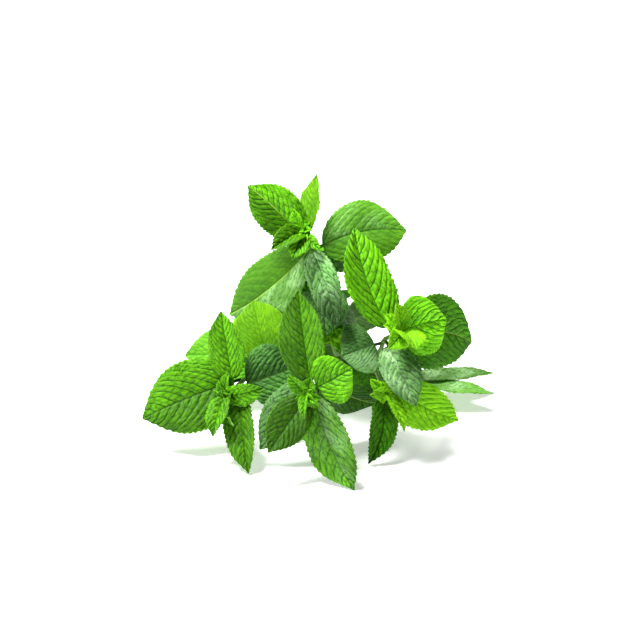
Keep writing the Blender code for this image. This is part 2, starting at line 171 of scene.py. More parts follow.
# How each leaf looks where it differs from plainLook. skin names a material, pairs is the number of side
# veins on each half, quilt how strongly it puffs up between them, rib how pale its midrib is. The tone pair
# is the lightness of its left and its right half, seen with its tip upwards: partly the leaf's own tone and
# partly painted light and shade. The bloom pair is the whitish haze of each half, partly bloom and partly a
# painted sheen. dim is how much darker and clearer of haze it gets towards its tip. toothRows are the places
# of mesh rows along a tooth, and leastColumns the fewest columns on each half.
plainLook = dict(skin="fresh", pairs=8, toneAndShade=(1.0, 1.0), bloomAndSheen=(0.0, 0.0), rib=0.0, quilt=1.0, dim=0.0,
                 toothRows=(0, 0.25, 0.48, 0.70, 0.85), leastColumns=7)
looks = {
    "main_1": dict(pairs=10, rib=0.8, toneAndShade=(0.7, 1.5)),
    "main_2": dict(skin="young", pairs=9, toneAndShade=(0.6, 0.6)),
    "main_3": dict(skin="pale", bloomAndSheen=(0.2, 0.0), quilt=0.6, toneAndShade=(1.0, 0.7)),
    "main_4": dict(skin="pale", bloomAndSheen=(0.3, 0.0), rib=0.6, quilt=0.5, toneAndShade=(0.5, 0.6)),
    "main_5": dict(skin="old", pairs=7, bloomAndSheen=(0.35, 0.45), quilt=1.2, toneAndShade=(1.9, 1.9), dim=0.75),
    "main_6": dict(skin="old"),
    "main_7": dict(skin="old", bloomAndSheen=(0.3, 0.3), toneAndShade=(1.4, 1.4)),
    "main_9": dict(skin="old"),
    "main_11": dict(skin="darkAndShaded"),
    "main_12": dict(skin="darkAndShaded"),
    "front_1": dict(pairs=5, quilt=1.2, toneAndShade=(1.2, 1.2)),
    "front_2": dict(toneAndShade=(0.3, 0.3)),
    "front_3": dict(toneAndShade=(0.4, 0.6)),
    "front_4": dict(pairs=7, bloomAndSheen=(0.2, 0.1), toneAndShade=(0.5, 0.8)),
    "front_5": dict(skin="old", bloomAndSheen=(0.2, 0.2)),
    "front_6": dict(skin="darkAndShaded", pairs=7, rib=0.6, quilt=0.7, toneAndShade=(0.6, 0.6)),
    "back_4": dict(skin="darkAndShaded"),
    "back_5": dict(skin="darkAndShaded"),
    "left_1": dict(pairs=11, toneAndShade=(0.8, 0.9)),
    "left_2": dict(toneAndShade=(0.5, 0.5)),
    "left_3": dict(pairs=9, toneAndShade=(0.5, 0.9)),
    "left_4": dict(skin="old", pairs=7, rib=0.4, toneAndShade=(1.2, 1.2)),
    "left_5": dict(skin="young", quilt=0.4, pairs=11, toneAndShade=(0.6, 0.6)),
    "right_1": dict(pairs=9, toneAndShade=(1.1, 1.4)),
    "right_2": dict(pairs=5, quilt=1.2, toneAndShade=(2.0, 2.0)),
    "right_3": dict(skin="old", pairs=7, bloomAndSheen=(0.1, 0.5), quilt=1.2, toneAndShade=(1.1, 1.1), dim=0.3),
    "right_4": dict(skin="darkAndShaded", rib=0.4, quilt=0.6, toneAndShade=(1.3, 1.3)),
    "right_5": dict(skin="old", pairs=6, bloomAndSheen=(0.1, 0.0), toneAndShade=(0.9, 0.9)),
    "fork_1": dict(skin="darkAndShaded", toneAndShade=(0.8, 0.8)),
    "fork_2": dict(skin="young"),
    "side_1": dict(skin="young"),
    "low_right_1": dict(skin="pale", bloomAndSheen=(0.5, 0.5), toneAndShade=(0.4, 0.4)),
    "low_right_2": dict(skin="pale", bloomAndSheen=(0.6, 0.6), toneAndShade=(0.9, 0.9)),
    "low_right_3": dict(skin="darkAndShaded"),
    "low_left_1": dict(skin="young", quilt=0.4, pairs=11),
    "low_left_2": dict(skin="pale"),
}


# the vector divided by its length
def unit(v):
    return np.asarray(v, float) / np.linalg.norm(v)


# a Catmull-Rom line through the points, its end tangents carried straight on
def smoothPath(through, steps=60):
    p = np.asarray(through, float)
    p = np.vstack([2 * p[0] - p[1], p, 2 * p[-1] - p[-2]])
    t = np.linspace(0, 1, steps, endpoint=False)[:, None]
    spans = [0.5 * (2 * b + (c - a) * t + (2 * a - 5 * b + 4 * c - d) * t**2 + (3 * b - a - 3 * c + d) * t**3)
             for a, b, c, d in zip(p, p[1:], p[2:], p[3:])]
    return np.vstack(spans + [p[-2:-1]])


# the point at a share of the path's length, and the direction from just before it to just after it
def pointAt(path, share):
    reach = np.concatenate([[0], np.cumsum(np.linalg.norm(np.diff(path, axis=0), axis=1))])
    aim = np.clip(np.array([share, share - 0.02, share + 0.02]), 0, 1) * reach[-1]
    here, before, after = np.stack([np.interp(aim, reach, path[:, k]) for k in range(3)], axis=-1)
    return here, unit(after - before)


# from the radius at the stem's foot to the one at its end, in a straight line
def stemRadius(stem, share):
    first, last = stems[stem]["radius"]
    return first + (last - first) * share


# the direction with that compass bearing from +Y towards +X, and that angle above level
def heading(bearing, rise):
    b, r = math.radians(bearing), math.radians(rise)
    return np.array([math.sin(b) * math.cos(r), math.cos(b) * math.cos(r), math.sin(r)])


# where an arc of length 1 has come to after a share u, setting out at angle start and turning down by turn
def arc(start, turn, u):
    turn = turn if abs(turn) > 1e-4 else 1e-4
    forward = (np.sin(start) - np.sin(start - turn * u)) / turn
    return forward, (np.cos(start - turn * u) - np.cos(start)) / turn


# along the leaf, across it, and out of its upper face, which looks along its stem
def leafAxes(item, stemAxis):
    ahead = heading(item["bearing"], item["rise"])
    facing = np.array([0.0, 0.0, 1.0]) if item["flat"] else stemAxis
    out = unit(facing - (facing @ ahead) * ahead)
    across = np.cross(out, ahead)
    roll = math.radians(item["roll"])
    rolled = across * math.cos(roll) - out * math.sin(roll)
    return ahead, rolled, out * math.cos(roll) + across * math.sin(roll)


leafForm = dict(
    bladeHalf=0.20,                # half the blade's thickness
    stalkHalf=0.70,                # half the stalk's
    stalkWidth=1.7,
    seatHalf=0.65,                 # half the thickness of the stalk's foot
    seatReach=1.2, seatGap=0.3,    # from the stem's centre line, in stem radii, and the space left besides
    stalkFade=6.0,                 # length of blade over which the stalk dies away
    teeth=16, fewestTeeth=7,       # on each side, where toothSpacing allows it
    toothSpacing=(1.6, 3.0),       # on the smallest and on the largest leaves
    toothDepth=0.26,               # of the space between two teeth
    deepestTooth=0.3,              # of the blade's half width there
    toothFrom=0.07, toothTo=0.985,
    columnSpacing=0.62,
    fullRelief=28,                 # length from which a leaf has its full relief
    veinLean=(0.85, 0.90),         # how far side veins run forward, and how much more near the edge
    veinWander=0.07,               # of the space between two side veins
    ridge=0.75,                    # height of the blade between two side veins
    ridgeSpacing=4.5,              # side veins closer than this have lower ridges between them
    cellSize=2.6, cellCount=(0.8, 1.2),   # of the fine net of veins, and how many fit along and across
    puff=0.28,                     # height of each cell of the net
    lumps=0.22,                    # height of broad, uneven swellings
    edgeWave=0.15, edgeWaveLength=4.3,
    hazePatch=(3.1, 2.9),          # about a third of a haze patch's length and width
    ribWidth=0.5,
    groove=0.35,                   # midrib sunk into the upper face
    underRib=0.55,                 # and raised on the lower
    underVein=0.2,                 # side veins raised on the lower face
    lowestUpper=0.25,              # height below which no upper face goes
)


# the middle of the stalk's end, on the side of the stem that the stalk sets out from
def leafSeat(item, stem, axes):
    point, axis = pointAt(smoothPath(stems[stem]["through"]), item["share"])
    ahead, across, out = axes
    start = math.radians(item["bend"]) / 2
    setOut = math.cos(start) * ahead + math.sin(start) * out
    normal = math.cos(start) * out - math.sin(start) * ahead
    aside = unit(setOut - (setOut @ axis) * axis)
    reach = leafForm["seatHalf"] * abs(normal @ aside) + leafForm["stalkWidth"] / 2 * abs(across @ aside)
    clear = stemRadius(stem, item["share"]) * leafForm["seatReach"] + leafForm["seatGap"]
    return point + aside * (clear + reach)


# half width: a quarter round from the base to the widest place, then a long curve to a pointed tip
def halfWidth(blade, widest):
    low = np.sqrt(np.clip(1 - (1 - blade / widest) ** 2, 0, 1)) ** 0.9
    beyond = np.clip((blade - widest) / (1 - widest), 0, 1)
    high = (1 - beyond**2.2) * (1 - 0.45 * beyond**6)
    return np.where(blade < widest, low, high)


# 0 below low and 1 above high, easing in and out between them
def smoothStep(low, high, x):
    x = np.clip((x - low) / (high - low), 0, 1)
    return x * x * (3 - 2 * x)


# Distances to the nearest and the second nearest of points scattered one to a square of a grid.
def scatter(x, y, rng):
    jitter = rng.uniform(0.12, 0.88, (64, 64, 2))
    column, row = np.floor(x).astype(int), np.floor(y).astype(int)
    nearest = np.full(x.shape, 9.0)
    second = nearest.copy()
    for i in (-1, 0, 1):
        for j in (-1, 0, 1):
            spot = jitter[(column + i) % 64, (row + j) % 64]
            away = np.hypot(column + i + spot[..., 0] - x, row + j + spot[..., 1] - y)
            second = np.minimum(second, np.maximum(nearest, away))
            nearest = np.minimum(nearest, away)
    return nearest, second


# Rows of points at shares of the whole length. Each tooth runs from a notch out to its point at 0.7 of its
# length and back in.
def leafRows(item):
    low, high = leafForm["toothSpacing"]
    spacing = np.clip(item["length"] / leafForm["teeth"], low, high)
    teeth = max(leafForm["fewestTeeth"], round(item["length"] / spacing))
    first, last = leafForm["toothFrom"], leafForm["toothTo"]
    shares = np.array(item["toothRows"])
    blade = first + (last - first) / teeth * (np.arange(teeth)[:, None] + shares).ravel()
    notch = np.tile(np.where(shares <= 0.7, 1 - shares / 0.7, (shares - 0.7) / 0.3), teeth)
    blade = np.concatenate([[0, 0.01, 0.025, 0.045], blade, [last, 1]])
    notch = np.concatenate([np.zeros(4), notch, [1, 0]])
    whole = item["length"] + item["stalk"]
    stalk = np.linspace(-1.6, item["stalk"], 8)[:-1] / whole
    depth = leafForm["toothDepth"] * item["length"] / teeth
    return (np.concatenate([stalk, (item["stalk"] + blade * item["length"]) / whole]),
            np.concatenate([np.zeros(7), notch * depth]))


# The middle of the blade. The midrib is an arc of the leaf's bend. Each half is an arc across it that sets
# out at the fold's angle and curls back. The edge waves twice along the leaf and is cut by the teeth.
def leafSheet(item, seat, axes, s, t, notch):
    ahead, across, out = axes
    whole = item["length"] + item["stalk"]
    bend = math.radians(item["bend"])
    forward, lift = arc(bend / 2, bend, s)
    aside = item["sway"] * 4 * s * (1 - s)
    rib = seat + whole * (forward[..., None] * ahead + lift[..., None] * out + aside[..., None] * across)
    slope = bend / 2 - bend * s
    normal = np.cos(slope)[..., None] * out - np.sin(slope)[..., None] * ahead
    blade = np.clip((s * whole - item["stalk"]) / item["length"], 0, 1)
    wide = item["width"] / 2 * halfWidth(blade, item["widest"])
    cut = np.minimum(notch, leafForm["deepestTooth"] * wide) * np.abs(t) ** 6
    wide = np.maximum(wide, leafForm["stalkWidth"] / 2 * (1 - blade))
    y, z = arc(math.radians(item["fold"]), math.radians(item["curl"]), np.abs(t))
    wave = item["ripple"] * t**2 * np.sin(blade * 4 * np.pi + 1.0 + item["length"]) * np.sin(np.pi * blade)
    side = ((wide * y - cut) * np.sign(t))[..., None] * across
    return rib + side + (wide * z + wave)[..., None] * normal, blade, wide


# Adds the relief and what the skin reads. Side veins leave the midrib, lean forward and turn towards the tip:
# one runs wherever veinPhase is a whole number. The blade rises in a ridge between each two, every cell of
# the fine net puffs up a little, the midrib is sunk, and all veins stand out underneath. The whitish haze,
# partly bloom and partly a painted sheen, lies in broad patches, thickest at the base and beside the midrib.
# The lightness of each half is partly the leaf's own tone and partly painted light and shade.
def leafGrid(item, seat, axes, seed):
    rng = np.random.default_rng(seed)
    rows, notches = leafRows(item)
    size = min(1.0, item["length"] / leafForm["fullRelief"])
    columns = 2 * max(item["leastColumns"], round(item["width"] / 2 / leafForm["columnSpacing"])) + 1
    u = np.linspace(-1, 1, columns)
    s, t = np.meshgrid(rows, np.sign(u) * np.abs(u) ** 1.12, indexing="ij")
    sheet, blade, wide = leafSheet(item, seat, axes, s, t, notches[:, None])
    normal = np.cross(np.gradient(sheet, axis=0), np.gradient(sheet, axis=1))
    normal /= np.linalg.norm(normal, axis=-1, keepdims=True)
    edge = np.abs(t)
    across, along = wide * edge, blade * item["length"]
    near, far = leafForm["veinLean"]
    spacing = item["length"] / item["pairs"]
    wander = leafForm["veinWander"] * np.sin(0.9 * across + rng.uniform(0, 6))
    wander = wander * np.sin(0.35 * along + rng.uniform(0, 6))
    phase = (along - wide * (near * edge + far * edge**2.5)) / spacing + wander * smoothStep(0, 0.3, edge)
    phase = phase + rng.uniform(0, 0.3) + np.where(t < 0, rng.uniform(0.3, 0.6), 0)
    part = np.mod(phase, 1.0)
    ridge = np.sin(np.pi * part**0.8) ** 0.6
    onBlade = smoothStep(0.0, 0.10, blade) * smoothStep(1.0, 0.93, blade)
    inner = smoothStep(0.2, 2.4 * size, across)
    outer = 1 - 0.55 * smoothStep(0.80, 1, edge)
    crowded = min(1.0, spacing / leafForm["ridgeSpacing"])
    height = leafForm["ridge"] * crowded * item["quilt"] * (ridge - 0.55) * inner * outer
    cell = leafForm["cellSize"] * (0.55 + 0.45 * size)
    lengthwise, sidewise = leafForm["cellCount"]
    nearest, second = scatter(phase * spacing * lengthwise / cell + 40,
                              across * np.sign(t) * sidewise / cell + 40, rng)
    netGap = second - nearest
    cushion = smoothStep(0, 0.6, netGap) - 0.5
    height += leafForm["puff"] * size * item["quilt"] * cushion * smoothStep(0, 0.1, edge)
    waves = rng.uniform(0, 2 * np.pi, 4)
    lumps = (np.sin(7 * blade + 2.5 * t + waves[0]) + 0.7 * np.sin(11 * blade - 4 * t + waves[1])
             + 0.5 * np.sin(5 * t + 3 * blade + waves[2]))
    height += leafForm["lumps"] * size * lumps * smoothStep(0.1, 0.6, edge)
    swing = np.sin(2 * np.pi * (along / leafForm["edgeWaveLength"] + waves[3]))
    height += leafForm["edgeWave"] * size * swing * edge**6
    height *= onBlade
    stalkness = np.clip(1 - along / leafForm["stalkFade"], 0, 1)
    midrib = np.exp(-(across / leafForm["ribWidth"]) ** 2)
    centre = midrib * onBlade * (1 - stalkness)
    rounded = np.sqrt(np.clip(1 - edge**2, 0, 1))
    thin = leafForm["bladeHalf"] * np.sqrt(np.clip(1 - edge**8, 0, 1))
    half = thin + (leafForm["stalkHalf"] * rounded - thin) * stalkness
    ribs = leafForm["underRib"] * midrib * (1 - blade) ** 0.5 * (1 - stalkness)
    ribs += leafForm["underVein"] * size * (1 - ridge) ** 3 * onBlade * smoothStep(1, 0.7, edge)
    upper = sheet + normal * (height + half - leafForm["groove"] * centre * (1 - 0.6 * blade))[..., None]
    lower = sheet + normal * (height - half - ribs * (edge < 1))[..., None]
    border = np.zeros(t.shape, bool)
    border[[0, -1]] = border[:, [0, -1]] = True
    upper[border] = (sheet + normal * height[..., None])[border]
    upper[..., 2] = np.maximum(upper[..., 2], leafForm["lowestUpper"])
    lower[..., 2] = np.maximum(lower[..., 2], 0.0)
    tall, broad = leafForm["hazePatch"]
    patches = 0.5 + 0.5 * np.sin(along / tall + 1.7 * np.sin(across / broad + waves[1]) + waves[0])
    # whitish haze on each half: partly bloom, partly a painted sheen
    haze = np.where(t > 0, *item["bloomAndSheen"]) * (0.4 + 0.9 * patches**2)
    haze = haze * (1.4 - 1.0 * blade) * (1.2 - 0.7 * edge)
    kept = 1 - item["dim"] * smoothStep(0.25, 0.75, blade)
    # the lightness of each half: partly the leaf's own tone, partly painted light and shade
    facts = dict(veinPhase=phase, ribDistance=across, edgeShare=edge, netGap=netGap,
                 ridgeHeight=ridge * onBlade, leafBloomAndSheen=haze * kept,
                 leafToneAndShade=np.where(t > 0, *item["toneAndShade"]) * kept, paleRib=np.full(t.shape, item["rib"]))
    return upper, lower, facts


# Two grids that share their border become one closed shell. The lower face's inner points follow the upper's.
def shell(upper, lower, facts):
    n, m = upper.shape[:2]
    top = np.arange(n * m).reshape(n, m)
    under = top.copy()
    under[1:-1, 1:-1] = n * m + np.arange((n - 2) * (m - 2)).reshape(n - 2, m - 2)
    quads = np.concatenate([
        np.stack([g[:-1, :-1], g[1:, :-1], g[1:, 1:], g[:-1, 1:]][::turn], axis=-1).reshape(-1, 4)
        for g, turn in ((top, 1), (under, -1))])
    points = np.vstack([upper.reshape(-1, 3), lower[1:-1, 1:-1].reshape(-1, 3)])
    values = {k: np.concatenate([v.ravel(), v[1:-1, 1:-1].ravel()]) for k, v in facts.items()}
    values["underSide"] = np.concatenate([np.zeros(n * m), np.ones((n - 2) * (m - 2))])
    return points, quads, values


# One object from several shells: points in millimetres, faces, and the values that its material reads.
def meshObject(name, shells, skin):
    starts = np.cumsum([0] + [len(points) for points, _, _ in shells])
    points = np.vstack([points for points, _, _ in shells]) * mm
    quads = np.vstack([faces + start for (_, faces, _), start in zip(shells, starts)])
    mesh = bpy.data.meshes.new(name)
    mesh.vertices.add(len(points))
    mesh.vertices.foreach_set("co", points.ravel())
    mesh.loops.add(quads.size)
    mesh.loops.foreach_set("vertex_index", quads.ravel())
    mesh.polygons.add(len(quads))
    mesh.polygons.foreach_set("loop_start", np.arange(0, quads.size, 4))
    mesh.update(calc_edges=True)
    for key in shells[0][2]:
        layer = mesh.attributes.new(key, "FLOAT", "POINT")
        layer.data.foreach_set("value", np.concatenate([values[key] for _, _, values in shells]))
    mesh.shade_smooth()
    mesh.materials.append(skin)
    piece = bpy.data.objects.new(name, mesh)
    bpy.context.scene.collection.objects.link(piece)
    return piece


# a hex colour's three parts turned from sRGB to linear, with full cover
def colour(code):
    parts = [int(code[k:k + 2], 16) / 255 for k in (1, 3, 5)]
    return tuple(c / 12.92 if c <= 0.04045 else ((c + 0.055) / 1.055) ** 2.4 for c in parts) + (1.0,)


# Adds a node, fills its inputs with values or with what other nodes give, and returns one of its outputs.
def addNode(tree, kind, inputs, output=0, **settings):
    node = tree.nodes.new(kind)
    for key, value in settings.items():
        setattr(node, key, value)
    for socket, value in inputs.items():
        if isinstance(value, bpy.types.NodeSocket):
            tree.links.new(value, node.inputs[socket])
        else:
            node.inputs[socket].default_value = value
    return node.outputs[output]


# Living mint leaf, a waxy skin over soft cells. Each has a shadowed and a lit green for painted light and
# shade, the darker green of its veins, the paler dull green of its lower face, how dark its side veins and
# its net are drawn, how much light goes through the blade, and its gloss. The dark vein lines and the darker
# green are partly the veins' own colour and partly painted shade in their grooves.
leafShades = dict(
    fresh=dict(deep="#245802", light="#62aa0e", veinGreenAndShade="#143e02", under="#76a548", veinLinesAndShade=0.85, net=0.36,
               glow=0.15, rough=0.36, shine=0.12),
    # darker greens for leaves that lie in the shade inside the sprig: partly their own colour, partly painted
    # shade
    darkAndShaded=dict(deep="#1b4405", light="#427e12", veinGreenAndShade="#0c2a03", under="#64894a", veinLinesAndShade=0.75, net=0.35,
              glow=0.05, rough=0.40, shine=0.05),
    old=dict(deep="#224c12", light="#508636", veinGreenAndShade="#08220a", under="#6f9160", veinLinesAndShade=0.85, net=0.60,
             glow=0.05, rough=0.34, shine=0.25),
    young=dict(deep="#448a0a", light="#82c418", veinGreenAndShade="#2c6c08", under="#92c24e", veinLinesAndShade=0.65, net=0.20,
               glow=0.30, rough=0.45, shine=0.06),
    pale=dict(deep="#3c7c10", light="#68aa20", veinGreenAndShade="#2a6210", under="#8cb66e", veinLinesAndShade=0.50, net=0.25,
              glow=0.25, rough=0.45, shine=0.12),
)
# a pale midrib, and a whitish colour that is partly bloom and partly a painted sheen
paleMidrib, bloomAndSheenWhite = "#a6cf52", "#a4cc90"


# One leaf material from its shades: the blade's green with painted light and shade, then veins, midrib, edge,
# bloom with a painted sheen, and lower face over it
def leafSkin(name, shades):
    skin = bpy.data.materials.new(name)
    skin.use_nodes = True
    tree = skin.node_tree
    shader = tree.nodes["Principled BSDF"]
    fact = {key: addNode(tree, "ShaderNodeAttribute", {}, "Fac", attribute_name=key) for key in
            ("veinPhase", "ribDistance", "edgeShare", "netGap", "ridgeHeight", "leafBloomAndSheen", "leafToneAndShade",
             "paleRib", "underSide")}
    deep, light, veinGreenAndShade, under = (colour(shades[key]) for key in ("deep", "light", "veinGreenAndShade", "under"))
    place = addNode(tree, "ShaderNodeTexCoord", {}, "Object")
    blotches = addNode(tree, "ShaderNodeTexNoise", {"Vector": place, "Scale": 110.0, "Detail": 4.0}, "Fac")
    times, blend = dict(operation="MULTIPLY"), dict(output=2, data_type="RGBA")
    ramp = dict(interpolation_type="SMOOTHSTEP")

    # side veins about 0.4 mm wide, fading near the edge, and the thinner net between them: dark lines that
    # are partly the veins' own green and partly painted shade in their grooves
    beside = addNode(tree, "ShaderNodeMath", {0: fact["veinPhase"], 1: 0.5}, operation="PINGPONG")
    line = addNode(tree, "ShaderNodeMapRange", {0: beside, 1: 0.02, 2: 0.10, 3: shades["veinLinesAndShade"], 4: 0.0},
                   **ramp)
    fading = addNode(tree, "ShaderNodeMapRange", {0: fact["edgeShare"], 1: 0.7, 2: 1.0, 3: 1.0, 4: 0.3},
                     **ramp)
    sideVeinAndShade = addNode(tree, "ShaderNodeMath", {0: line, 1: fading}, **times)
    netLineAndShade = addNode(tree, "ShaderNodeMapRange",
                      {0: fact["netGap"], 1: 0.01, 2: 0.18, 3: shades["net"], 4: 0.0}, **ramp)
    veinLinesAndShade = addNode(tree, "ShaderNodeMath", {0: sideVeinAndShade, 1: netLineAndShade}, operation="MAXIMUM")
    midrib = addNode(tree, "ShaderNodeMapRange",
                     {0: fact["ribDistance"], 1: 0.12, 2: 0.42, 3: 1.0, 4: 0.0}, **ramp)

    # painted light and shade: the blade lightens towards the tops of its ridges and cells and stays darker in
    # the hollows between them, in uneven patches
    cellTop = addNode(tree, "ShaderNodeMapRange", {0: fact["netGap"], 1: 0.0, 2: 0.5, 3: 0.45, 4: 1.0},
                      **ramp)
    ridgeTop = addNode(tree, "ShaderNodeMapRange",
                       {0: fact["ridgeHeight"], 1: 0.0, 2: 0.45, 3: 0.0, 4: 1.0}, **ramp)
    top = addNode(tree, "ShaderNodeMath", {0: cellTop, 1: ridgeTop}, **times)
    uneven = addNode(tree, "ShaderNodeMapRange", {0: blotches, 1: 0.3, 2: 0.7, 3: 0.6, 4: 1.1}, **ramp)
    lit = addNode(tree, "ShaderNodeMath", {0: top, 1: uneven}, **times)
    body = addNode(tree, "ShaderNodeMix", {0: lit, 6: deep, 7: light}, **blend)
    # the lightness of each half: partly the leaf's own tone, partly painted light and shade
    tinted = addNode(tree, "ShaderNodeHueSaturation", {"Value": fact["leafToneAndShade"], "Color": body})
    veinedAndShaded = addNode(tree, "ShaderNodeMix", {0: veinLinesAndShade, 6: tinted, 7: veinGreenAndShade}, **blend)

    # a midrib is either as dark as the veins, partly painted shade in its groove, or pale, and the edge of
    # the blade is thin and light
    darkness = addNode(tree, "ShaderNodeMapRange", {0: fact["paleRib"], 1: 0.0, 2: 0.5, 3: 0.5, 4: 0.0})
    darkRibAndShade = addNode(tree, "ShaderNodeMath", {0: midrib, 1: darkness}, **times)
    ribbed = addNode(tree, "ShaderNodeMix", {0: darkRibAndShade, 6: veinedAndShaded, 7: veinGreenAndShade}, **blend)
    lightRib = addNode(tree, "ShaderNodeMath", {0: midrib, 1: fact["paleRib"]}, **times)
    striped = addNode(tree, "ShaderNodeMix", {0: lightRib, 6: ribbed, 7: colour(paleMidrib)}, **blend)
    rim = addNode(tree, "ShaderNodeMapRange", {0: fact["edgeShare"], 1: 0.93, 2: 1.0, 3: 0.0, 4: 0.4}, **ramp)
    rimmed = addNode(tree, "ShaderNodeMix", {0: rim, 6: striped, 7: light}, **blend)

    # whitish haze on the tops of the cells, partly bloom and partly a painted sheen, and the plainer lower
    # face
    crest = addNode(tree, "ShaderNodeMapRange", {0: fact["netGap"], 1: 0.02, 2: 0.25, 3: 0.1, 4: 1.0}, **ramp)
    bloomAndSheenTops = addNode(tree, "ShaderNodeMath", {0: ridgeTop, 1: crest}, **times)
    bloomAndSheenMask = addNode(tree, "ShaderNodeMath", {0: bloomAndSheenTops, 1: fact["leafBloomAndSheen"]}, **times)
    withBloomAndSheen = addNode(tree, "ShaderNodeMix", {0: bloomAndSheenMask, 6: rimmed, 7: colour(bloomAndSheenWhite)}, **blend)
    lower = addNode(tree, "ShaderNodeMix", {0: veinLinesAndShade, 6: under, 7: light}, **blend)
    paint = addNode(tree, "ShaderNodeMix", {0: fact["underSide"], 6: withBloomAndSheen, 7: lower}, **blend)
    gloss = addNode(tree, "ShaderNodeMapRange", {0: blotches, 1: 0.2, 2: 0.8, 3: shades["rough"] - 0.08,
                    4: shades["rough"] + 0.10}, **ramp)

    # wrinkles about 0.6 mm apart inside the cells, with a finer grain
    wrinkles = addNode(tree, "ShaderNodeTexVoronoi", {"Vector": place, "Scale": 1500.0}, "Distance",
                       feature="SMOOTH_F1")
    grain = addNode(tree, "ShaderNodeTexNoise", {"Vector": place, "Scale": 3500.0, "Detail": 2.0}, "Fac")
    dents = addNode(tree, "ShaderNodeMath", {0: wrinkles, 1: -0.35, 2: grain}, operation="MULTIPLY_ADD")
    relief = addNode(tree, "ShaderNodeMath", {0: veinLinesAndShade, 1: -0.6, 2: dents}, operation="MULTIPLY_ADD")
    bump = addNode(tree, "ShaderNodeBump", {"Height": relief, "Strength": 0.6, "Distance": 0.3 * mm},
                   "Normal")
    for socket, value in (("Base Color", paint), ("Roughness", gloss), ("Normal", bump)):
        tree.links.new(value, shader.inputs[socket])
    for socket, value in (("IOR", 1.45), ("Specular IOR Level", shades["shine"]),
                          ("Subsurface Weight", shades["glow"]), ("Subsurface Radius", (0.6, 1.0, 0.15)),
                          ("Subsurface Scale", 1.0 * mm)):
        shader.inputs[socket].default_value = value
    return skin


skins = {kind: leafSkin(kind + "MintLeaf", shades) for kind, shades in leafShades.items()}
print("leaf materials made")

counter = 0
for stem, entries in leaves.items():
    for number, entry in enumerate(entries, start=1):
        counter += 1
        item = {**plain, **plainLook, **entry, **looks.get(f"{stem}_{number}", {})}
        axes = leafAxes(item, pointAt(smoothPath(stems[stem]["through"]), item["share"])[1])
        grid = leafGrid(item, leafSeat(item, stem, axes), axes, seed=counter)
        node = f"leaf_{stem}_{number}"
        piece = meshObject("mint_" + node, [shell(*grid)], skins[item["skin"]])
        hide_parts(node)
        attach(piece, "root")
print("grown leaves made:", counter)

# A shoot's tip: young leaves round a bud of small scale leaves, the outer ones spread and the inner upright.
# Pairs of values go from the outermost scale leaf to the innermost. The tones give the lightness of each
# young
# leaf, and then of all the scale leaves: partly their own tone and partly painted light and shade.
tipForm = dict(
    budHeight=1.9, scaleHeight=0.6,   # where young leaves and the outermost scale leaf start, above the stem
    scaleLeaves=16, scaleLength=(9.0, 4.0), scaleWidth=(7.0, 3.2), spread=(-0.1, 1.7),
    scaleTurn=2.4,                    # radians from one scale leaf to the next
    scaleShape=dict(stalk=0.6, bend=70, fold=40, pairs=5, toothRows=(0, 0.40, 0.70), leastColumns=4),
    pairs=6, quilt=1.7,
)
tipLooks = {
    "main": dict(skin="fresh", tonesAndShade=(0.65, 1.1, 1.3, 1.3, 1.6)),
    "front": dict(skin="fresh", tonesAndShade=(0.9, 1.0, 0.9, 1.1, 1.0)),
    "back": dict(skin="fresh", tonesAndShade=(1.3, 1.3, 1.5)),
    "left": dict(skin="fresh", tonesAndShade=(0.8, 1.1, 0.7, 1.0, 0.9)),
    "right": dict(skin="young", tonesAndShade=(1.0, 1.0, 1.0, 1.1, 1.3)),
    "fork": dict(skin="young", tonesAndShade=(0.8, 0.9, 0.8, 1.0)),
    "side": dict(skin="young", tonesAndShade=(0.9, 0.9, 0.9, 1.0)),
    "low_right": dict(skin="fresh", tonesAndShade=(1.2, 1.2, 1.4)),
    "low_left": dict(skin="fresh", tonesAndShade=(1.2, 1.2, 1.4)),
}

for stem, items in tips.items():
    end, axis = pointAt(smoothPath(stems[stem]["through"]), 1.0)
    middle = end + axis * tipForm["budHeight"]
    tonesAndShade = tipLooks[stem]["tonesAndShade"]
    shells = []
    for item, toneAndShade in zip(items, tonesAndShade):
        counter += 1
        item = {**plainLook, **item, "pairs": tipForm["pairs"], "quilt": tipForm["quilt"],
                "toneAndShade": (toneAndShade, toneAndShade)}
        shells.append(shell(*leafGrid(item, middle, leafAxes(item, axis), seed=counter)))
    sideways = unit(np.cross(axis, heading(30, 40)))
    other = np.cross(axis, sideways)
    for k, inward in enumerate(np.linspace(0, 1, tipForm["scaleLeaves"])):
        counter += 1
        turn = tipForm["scaleTurn"] * k
        length, width, upright = (a + (b - a) * inward for a, b in
                                  (tipForm["scaleLength"], tipForm["scaleWidth"], tipForm["spread"]))
        aim = unit(math.cos(turn) * sideways + math.sin(turn) * other + upright * axis)
        scale = {**small, **plainLook, **tipForm["scaleShape"], "length": length, "width": width,
                 "bearing": math.degrees(math.atan2(aim[0], aim[1])), "rise": math.degrees(math.asin(aim[2])),
                 "quilt": tipForm["quilt"], "toneAndShade": (tonesAndShade[-1], tonesAndShade[-1])}
        seat = end + axis * (tipForm["scaleHeight"] + inward)
        shells.append(shell(*leafGrid(scale, seat, leafAxes(scale, axis), seed=counter)))
    piece = meshObject("mint_tip_" + stem, shells, skins[tipLooks[stem]["skin"]])
    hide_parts("tip_" + stem)
    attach(piece, "root")
print("shoot tips made:", len(tips))

stemForm = dict(
    ringSpacing=0.7, sides=24,
    swell=0.22, swellLength=1.4,      # where leaves grow
    section=0.93, square=0.07, crisp=0.02,    # in stem radii: the mean, and how far the four edges stand out
    endRings=(0.0, 0.55, 0.9),        # size of the rings that close an end
    endBulge=0.35,
)


